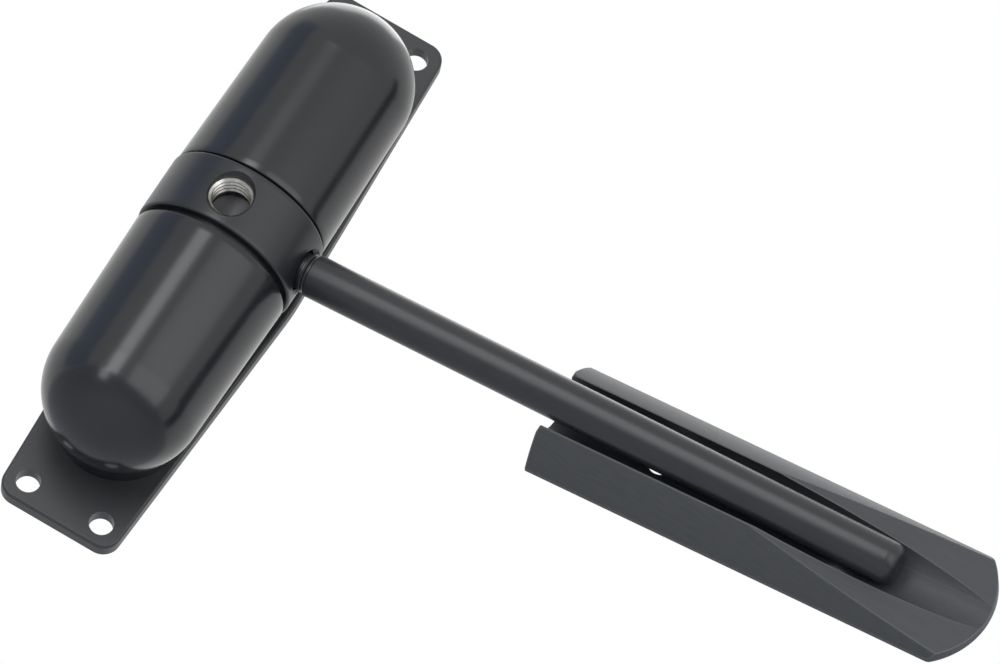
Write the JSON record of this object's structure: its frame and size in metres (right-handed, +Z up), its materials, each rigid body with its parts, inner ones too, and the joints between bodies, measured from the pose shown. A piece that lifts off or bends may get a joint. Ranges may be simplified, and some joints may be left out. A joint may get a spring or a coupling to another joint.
{
  "type": "spring door closer",
  "caption": "Spring door closer: a base plate with a domed spring cylinder, a turning hub with a round arm, and a grooved door track for the arm's tip.",
  "frame": {"origin": "middle of the base plate's back face, between its four screw holes", "axes": "+Z up along the spring cylinder, +Y into the door frame through the base plate's back, -Y towards the user, +X from the cylinder along the arm towards the door"},
  "size_m": [0.2103, 0.0493, 0.1464],
  "materials": {
    "plate_paint": "satin black, fine grain",
    "cover_paint": "semi-gloss black",
    "hub_paint": "satin black",
    "arm_paint": "satin black",
    "track_finish": "matte black, fine grain",
    "bare_steel": "turned",
    "zinc_plate": "zinc plated",
    "spring_steel": "oil-tempered dark steel",
    "bronze": "plain bearing bronze"
  },
  "bodies": {
    "base": {"base_plate": "plate_paint", "axle": "bare_steel", "upper_bracket": "zinc_plate", "upper_spacer_tube": "bare_steel", "upper_retaining_ring": "spring_steel", "lower_bracket": "zinc_plate", "lower_spacer_tube": "bare_steel", "lower_retaining_ring": "spring_steel"},
    "hub_and_arm": {"hub": "hub_paint", "upper_hub_bush": "bronze", "lower_hub_bush": "bronze", "arm": "arm_paint"},
    "track": {"track": "track_finish"},
    "upper_tensioner": {"upper_tension_collar": "zinc_plate", "upper_torsion_spring": "spring_steel", "upper_stop_pin": "bare_steel"},
    "lower_tensioner": {"lower_tension_collar": "zinc_plate", "lower_torsion_spring": "spring_steel", "lower_stop_pin": "bare_steel"},
    "upper_cover": {"upper_cover": "cover_paint"},
    "lower_cover": {"lower_cover": "cover_paint"}
  },
  "joints": [
    {"name": "arm_swing", "type": "hinge", "parent": "base", "child": "hub_and_arm", "pos_m": [0, -0.0203, 0], "axis": [0, 0, -1], "range_deg": [-11.5, 78.5], "stiffness_Nm_per_rad": 2, "springref_deg": -34.38},
    {"name": "track_run", "type": "slide", "parent": "hub_and_arm", "child": "track", "axis": [-0.9796, 0.2011, 0], "range_m": [-0.0023, 0.0152]},
    {"name": "upper_tension_turn", "type": "hinge", "parent": "base", "child": "upper_tensioner", "pos_m": [0, -0.0203, 0.0379], "axis": [0, 0, 1], "range_deg": [0, 270]},
    {"name": "lower_tension_turn", "type": "hinge", "parent": "base", "child": "lower_tensioner", "pos_m": [0, -0.0203, -0.0379], "axis": [0, 0, 1], "range_deg": [0, 270]},
    {"name": "upper_cover_slide", "type": "slide", "parent": "base", "child": "upper_cover", "axis": [0, 0, 1], "range_m": [0, 0.06]},
    {"name": "lower_cover_slide", "type": "slide", "parent": "base", "child": "lower_cover", "axis": [0, 0, -1], "range_m": [0, 0.06]}
  ],
  "couplings": [
    {"joint": "track_run", "follows": "arm_swing", "m_per_rad": 0.011}
  ]
}
